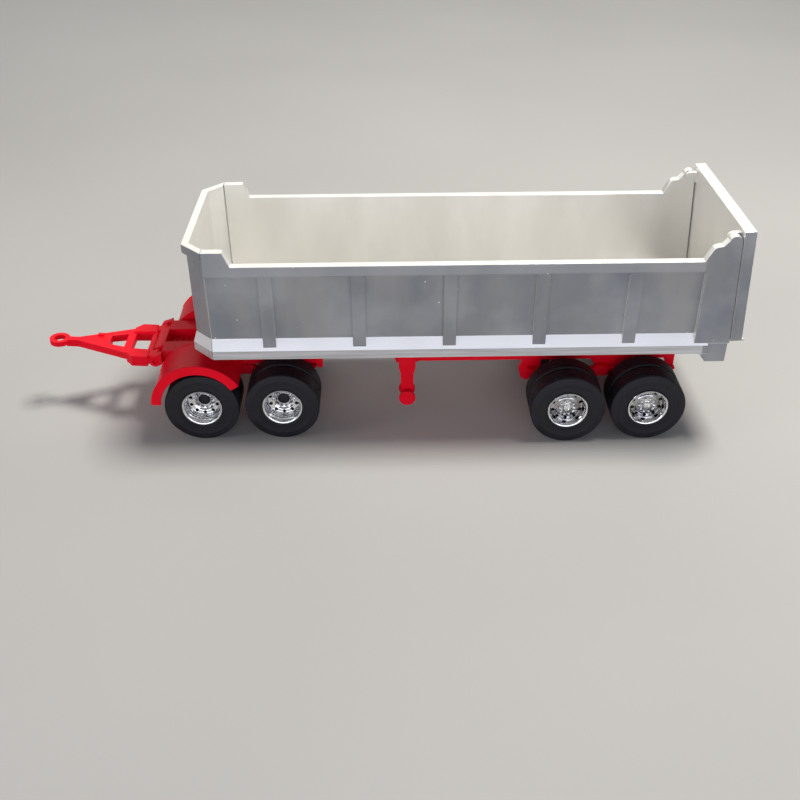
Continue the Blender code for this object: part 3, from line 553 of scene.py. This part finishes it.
def rim_mesh(wide, front, inside, web, holes, nuts, paint):
    """A dual rim with hand holes through its disc and nuts round its hub. Its outline goes from the
    axis out along the back, over the flange and down the front to the axis again."""
    def outer(points):
        return [(r, wide + across) for r, across in points]

    outline = outer(inside) + HUB_BACK + outer(web) + RIM_BACK + outer(FLANGE + front)
    body = turned(outline[::-1], RIM_SEGMENTS)
    hole_circle, hole_radius = holes
    drill = outer([(0.0, DRILL_IN), (hole_radius, DRILL_IN), (hole_radius, DRILL_OUT), (0.0, DRILL_OUT)])
    drills = around(lambda: turned(drill, HOLE_SEGMENTS), HOLE_COUNT, hole_circle, HOLE_PHASE)
    drilled = cut(body, gather(drills))
    nut_circle, nut_out = nuts
    made = around(wheel_nut, NUT_COUNT, nut_circle)
    for nut in made:
        bmesh.ops.translate(nut, vec=(0.0, wide + nut_out, 0.0), verts=nut.verts)
    return to_mesh("rim", gather([drilled, *made]), paint)


def hub_shade_mesh():
    """A dark disc of painted shade at the bottom of a deep hub."""
    return to_mesh("hub_shade", turned(HUB_SHADE, HUB_SHADE_SEGMENTS), "tyre_rubber")


def shade_disc_mesh(wide, web):
    """A dark disc of painted shade that shows through a rim's hand holes."""
    hub, barrel = web[0][0] + SHADE_DISC_HUB_GAP, web[-1][0] - SHADE_DISC_BARREL_GAP
    face = wide + web[1][1] - SHADE_DISC_GAP
    outline = [(hub, face - SHADE_DISC_DEPTH), (hub, face), (barrel - SHADE_DISC_CHAMFER, face),
               (barrel, face - SHADE_DISC_CHAMFER), (barrel, face - SHADE_DISC_DEPTH)]
    return to_mesh("shade_disc", turned(outline, SHADE_DISC_SEGMENTS), "tyre_rubber")


def place_wheel(wheel, side, wide, tyre, rim, disc_of_shade, shaded_hub):
    """Two tyres, their rim, a dark disc of painted shade behind its hand holes, and one at the bottom of the hub
    where the hub is deep enough for one.
    """
    x, _, z = JOINTS[f"spin_{wheel}"]["pos_m"]
    for where in ("inner", "outer"):
        solid = f"tyre_{where}_{wheel}"
        low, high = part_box(solid)
        place_piece(f"{solid}_ribbed", tyre, (x, (low.y + high.y) / 2, z), side < 0, solid)
    low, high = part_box(f"tyre_inner_{wheel}")
    inner = low.y if side > 0 else high.y
    body = NODE_BODY[f"rim_{wheel}"]
    place_piece(f"rim_{wheel}_plated", rim, (x, inner, z), side < 0, f"rim_{wheel}")
    extra_piece(f"shade_disc_{wheel}", disc_of_shade, (x, inner, z), side < 0, body)
    if shaded_hub:
        face = inner + side * (wide - HUB_SHADE_DEPTH) * MM
        extra_piece(f"hub_shade_{wheel}", shaded_hub, (x, face, z), side < 0, body)


def make_wheels():
    """Four dual wheels under the dolly and four at the rear. The left ones are turned round."""
    low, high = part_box("tyre_outer_rear_1_right")
    tyre, wide = tyre_mesh((high.y - low.y) / MM), DUAL_WIDTH / MM
    rims = {
        "dolly": rim_mesh(wide, DOLLY_FRONT, DOLLY_INSIDE, DOLLY_WEB, DOLLY_HOLES, DOLLY_NUTS, "chrome"),
        "rear": rim_mesh(wide, REAR_FRONT, REAR_INSIDE, REAR_WEB, REAR_HOLES, REAR_NUTS, "chrome_rear"),
    }
    shade_discs = {"dolly": shade_disc_mesh(wide, DOLLY_WEB), "rear": shade_disc_mesh(wide, REAR_WEB)}
    shaded_hubs = {"dolly": hub_shade_mesh(), "rear": None}
    for group, rim in rims.items():
        for number in (1, 2):
            for name, side in SIDES:
                wheel = f"{group}_{number}_{name}"
                place_wheel(wheel, side, wide, tyre, rim, shade_discs[group], shaded_hubs[group])


# ---------------------------------------------------------------- moulded pieces

def rounded(outline, radius):
    """A closed outline with its corners rounded, each over no more than a share of a side."""
    points = []
    for i, corner in enumerate(outline):
        here = Vector(corner)
        before, after = Vector(outline[i - 1]) - here, Vector(outline[(i + 1) % len(outline)]) - here
        reach = min(radius, before.length * CORNER_SHARE, after.length * CORNER_SHARE)
        start, stop = here + before.normalized() * reach, here + after.normalized() * reach
        for step in range(CORNER_STEPS + 1):
            share = step / CORNER_STEPS
            points.append((1 - share) ** 2 * start + 2 * share * (1 - share) * here + share ** 2 * stop)
    return points


def fender_section(near, far):
    """Across a fender, from its near to its far edge: a skin, and a lip and a bead at each edge."""
    top, under, lip = FENDER_RADIUS, FENDER_RADIUS - FENDER_SKIN, FENDER_RADIUS - FENDER_LIP
    bead, edge, bead_edge = FENDER_RADIUS + FENDER_BEAD, FENDER_EDGE, FENDER_EDGE * BEAD_SHARE
    return rounded([(top, near + edge), (top, far - edge), (bead, far - bead_edge), (bead, far),
                    (lip, far), (lip, far - edge), (under, far - edge), (under, near + edge),
                    (lip, near + edge), (lip, near), (bead, near), (bead, near + bead_edge)],
                   CORNER_RADIUS)


def make_fenders():
    """Curved fenders with a rolled lip at each edge and a bead round the top of the lip."""
    for name, side in SIDES:
        low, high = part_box(f"fender_{name}")
        section = fender_section(*sorted((abs(low.y) / MM, abs(high.y) / MM)))
        start, stop = FENDER_ARC[name]
        rings = []
        for i in range(FENDER_STEPS + 1):
            angle = math.radians(start + (stop - start) * i / FENDER_STEPS)
            cos, sin = math.cos(angle), math.sin(angle)
            rings.append([(r * cos, side * across, r * sin) for r, across in section])
        # The end that reaches the box's side, and the box's top, say where the centre is
        tip, tip_angle = (high.x, start) if name == "right" else (low.x, stop)
        reach = math.cos(math.radians(tip_angle)) * FENDER_RADIUS
        centre = (tip - reach * MM, 0.0, high.z - FENDER_RADIUS * MM)
        mesh = to_mesh(f"fender_{name}", skin(rings), "red_plastic", FENDER_CREASE)
        place_piece(f"fender_{name}_moulded", mesh, centre, False, f"fender_{name}")


def softened(solid_name):
    """A copy of a solid with its edges rounded, as on a moulding."""
    slot = NODE_SLOT[solid_name]
    crease = math.radians(SILVER_CREASE if slot == "silver_plastic" else SOLID_CREASE)
    flat = math.radians(SAME_PLANE)
    bm = bmesh.new()
    bm.from_mesh(frame["nodes"][solid_name].data)
    bmesh.ops.remove_doubles(bm, verts=bm.verts[:], dist=SAME_PLACE)
    bmesh.ops.dissolve_limit(bm, angle_limit=flat, verts=bm.verts[:], edges=bm.edges[:])
    mesh = bpy.data.meshes.new(f"{solid_name}_moulded")
    bm.to_mesh(mesh)
    bm.free()
    mesh.shade_smooth()
    mesh.set_sharp_from_angle(angle=crease)
    mesh.materials.append(PAINTS[slot])
    made = place_piece(f"{solid_name}_moulded", mesh, (0.0, 0.0, 0.0), False, solid_name)
    modifier = made.modifiers.new("edges", "BEVEL")
    modifier.width = EDGE_WIDTH * MM
    modifier.segments = EDGE_SEGMENTS
    modifier.limit_method = "ANGLE"
    modifier.angle_limit = crease
    modifier.harden_normals = True


def make_mouldings():
    """Soften every solid that has no mesh of its own yet."""
    drawn = ("tyre_", "rim_", "fender_")
    for name in frame["nodes"]:
        if not name.startswith(drawn):
            softened(name)


# ---------------------------------------------------------------- stage

def make_stage():
    """A wide pale floor, just under the tyres."""
    bpy.ops.mesh.primitive_plane_add(size=FLOOR_SIZE, location=(0.0, 0.0, -FLOOR_DROP))
    floor = bpy.context.active_object
    floor.name = "studio_floor"
    floor.data.materials.append(floor_paint())


def make_lights():
    """A high key over the tailgate's end, softboxes behind, in front and ahead, and a dim sky."""
    for name, place, target, size, power, colour in LIGHTS:
        data = bpy.data.lights.new(name, "AREA")
        data.shape = "RECTANGLE"
        data.size, data.size_y = size
        data.energy = power
        data.color = colour
        light = bpy.data.objects.new(name, data)
        light.location = place
        light.rotation_euler = (Vector(target) - Vector(place)).to_track_quat("-Z", "Y").to_euler()
        bpy.context.scene.collection.objects.link(light)
    world = bpy.data.worlds.new("studio")
    bpy.context.scene.world = world
    world.use_nodes = True
    sky = world.node_tree.nodes["Background"]
    sky.inputs["Color"].default_value = (*SKY_COLOUR, 1.0)
    sky.inputs["Strength"].default_value = SKY_STRENGTH


def make_camera():
    """Stand where the model is seen from its left side, from above, with its drawbar to the left."""
    yaw, pitch, roll = (math.radians(angle) for angle in (CAMERA_YAW, CAMERA_PITCH, CAMERA_ROLL))
    ahead = Vector((math.sin(yaw) * math.cos(pitch), math.cos(yaw) * math.cos(pitch), -math.sin(pitch)))
    level = Vector((math.cos(yaw), -math.sin(yaw), 0.0))
    above = level.cross(ahead)
    right = level * math.cos(roll) + above * math.sin(roll)
    up = above * math.cos(roll) - level * math.sin(roll)
    data = bpy.data.cameras.new("camera")
    data.sensor_width = CAMERA_SENSOR
    data.lens = CAMERA_LENS
    camera = bpy.data.objects.new("camera", data)
    turn = Matrix((right, up, -ahead)).transposed().to_4x4()
    camera.matrix_world = Matrix.Translation(CAMERA_PLACE) @ turn
    bpy.context.scene.collection.objects.link(camera)
    bpy.context.scene.camera = camera


bpy.context.scene.view_settings.view_transform = "Standard"
make_camera()
make_lights()
make_stage()
make_wheels()
make_fenders()
make_mouldings()
